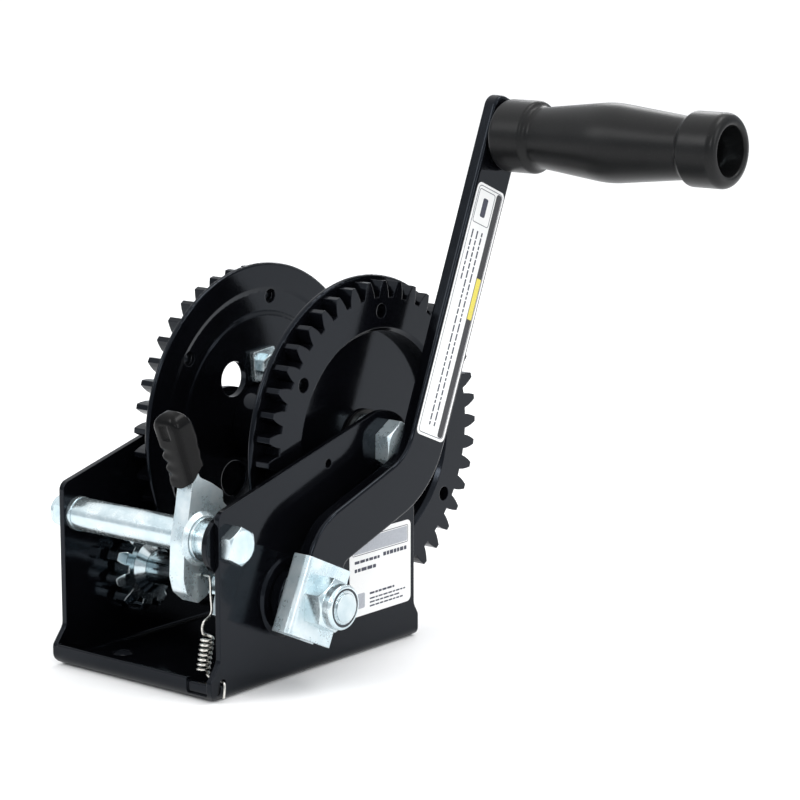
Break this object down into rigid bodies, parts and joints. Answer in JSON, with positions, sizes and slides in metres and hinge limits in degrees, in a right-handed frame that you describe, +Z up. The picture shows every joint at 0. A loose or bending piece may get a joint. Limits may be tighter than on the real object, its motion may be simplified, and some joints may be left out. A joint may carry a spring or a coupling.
{
  "type": "boat trailer winch",
  "caption": "Hand winch for a boat trailer: pressed steel frame, flanged rope drum with ring gears, cranked handle and a sprung ratchet pawl.",
  "frame": {"origin": "centre of the four base bolt holes, on the underside of the frame", "axes": "+X along the drum's axle towards the handle, +Y to the rear (drum side), +Z up, away from the mounting face"},
  "size_m": [0.2834, 0.2324, 0.2832],
  "materials": {
    "black_powder_coat": "gloss black powder coat",
    "zinc_plate": "bright zinc plate with a cool blue cast",
    "plain_steel": "plain drawn steel",
    "bush_brass": "plain bearing",
    "spring_wire": "drawn spring wire",
    "grip_plastic": "satin moulded plastic",
    "lever_vinyl": "soft dipped vinyl",
    "label_film": "white film label"
  },
  "bodies": {
    "frame": {"frame_channel": "black_powder_coat", "side_label": "label_film", "drum_axle_bolt": "zinc_plate", "drum_axle_nut": "zinc_plate", "axle_sleeve": "plain_steel", "axle_spacers": "zinc_plate", "shaft_bushes": "grip_plastic", "pawl_bolt": "zinc_plate", "pawl_bolt_nut": "zinc_plate", "pawl_washers": "zinc_plate", "pawl_spacer_long": "zinc_plate", "pawl_spacer_short": "zinc_plate", "pawl_guard_washer": "black_powder_coat"},
    "drum": {"drum_core": "black_powder_coat", "drum_hub_tube": "plain_steel", "drum_flange_right": "black_powder_coat", "drum_flange_left": "black_powder_coat", "ring_gear_right": "black_powder_coat", "ring_gear_left": "black_powder_coat", "drum_bushes": "grip_plastic", "rope_clamp_plate": "zinc_plate", "rope_clamp_bolt": "zinc_plate", "rope_clamp_nut": "zinc_plate"},
    "crank": {"drive_shaft": "zinc_plate", "pinion_right": "zinc_plate", "pinion_left": "zinc_plate", "ratchet_wheel": "zinc_plate", "shaft_washer": "zinc_plate", "shaft_circlip": "zinc_plate", "hub_collar": "black_powder_coat", "handle_bracket": "zinc_plate", "handle_lock_nut": "zinc_plate", "crank_arm": "black_powder_coat", "arm_label": "label_film", "grip_spindle": "zinc_plate", "grip_washers": "zinc_plate"},
    "grip": {"grip": "grip_plastic"},
    "pawl": {"pawl_plate": "zinc_plate", "pawl_bush": "bush_brass", "pawl_grip": "lever_vinyl", "pawl_spring": "spring_wire"}
  },
  "joints": [
    {"name": "drum_spin", "type": "hinge", "parent": "frame", "child": "drum", "pos_m": [0, 0.056, 0.1075], "axis": [1, 0, 0], "continuous": true},
    {"name": "crank_spin", "type": "hinge", "parent": "frame", "child": "crank", "pos_m": [0, -0.023, 0.043], "axis": [1, 0, 0], "continuous": true},
    {"name": "grip_spin", "type": "hinge", "parent": "crank", "child": "grip", "pos_m": [0.14, 0.129, 0.2624], "axis": [1, 0, 0], "continuous": true},
    {"name": "pawl_rock", "type": "hinge", "parent": "frame", "child": "pawl", "pos_m": [0.029, -0.063, 0.0765], "axis": [1, 0, 0], "range_deg": [0, 16], "stiffness_Nm_per_rad": 0.4, "springref_deg": -22.92, "deforming": ["pawl_spring"]}
  ],
  "couplings": [
    {"joint": "crank_spin", "follows": "drum_spin", "ratio": -3.8182}
  ]
}
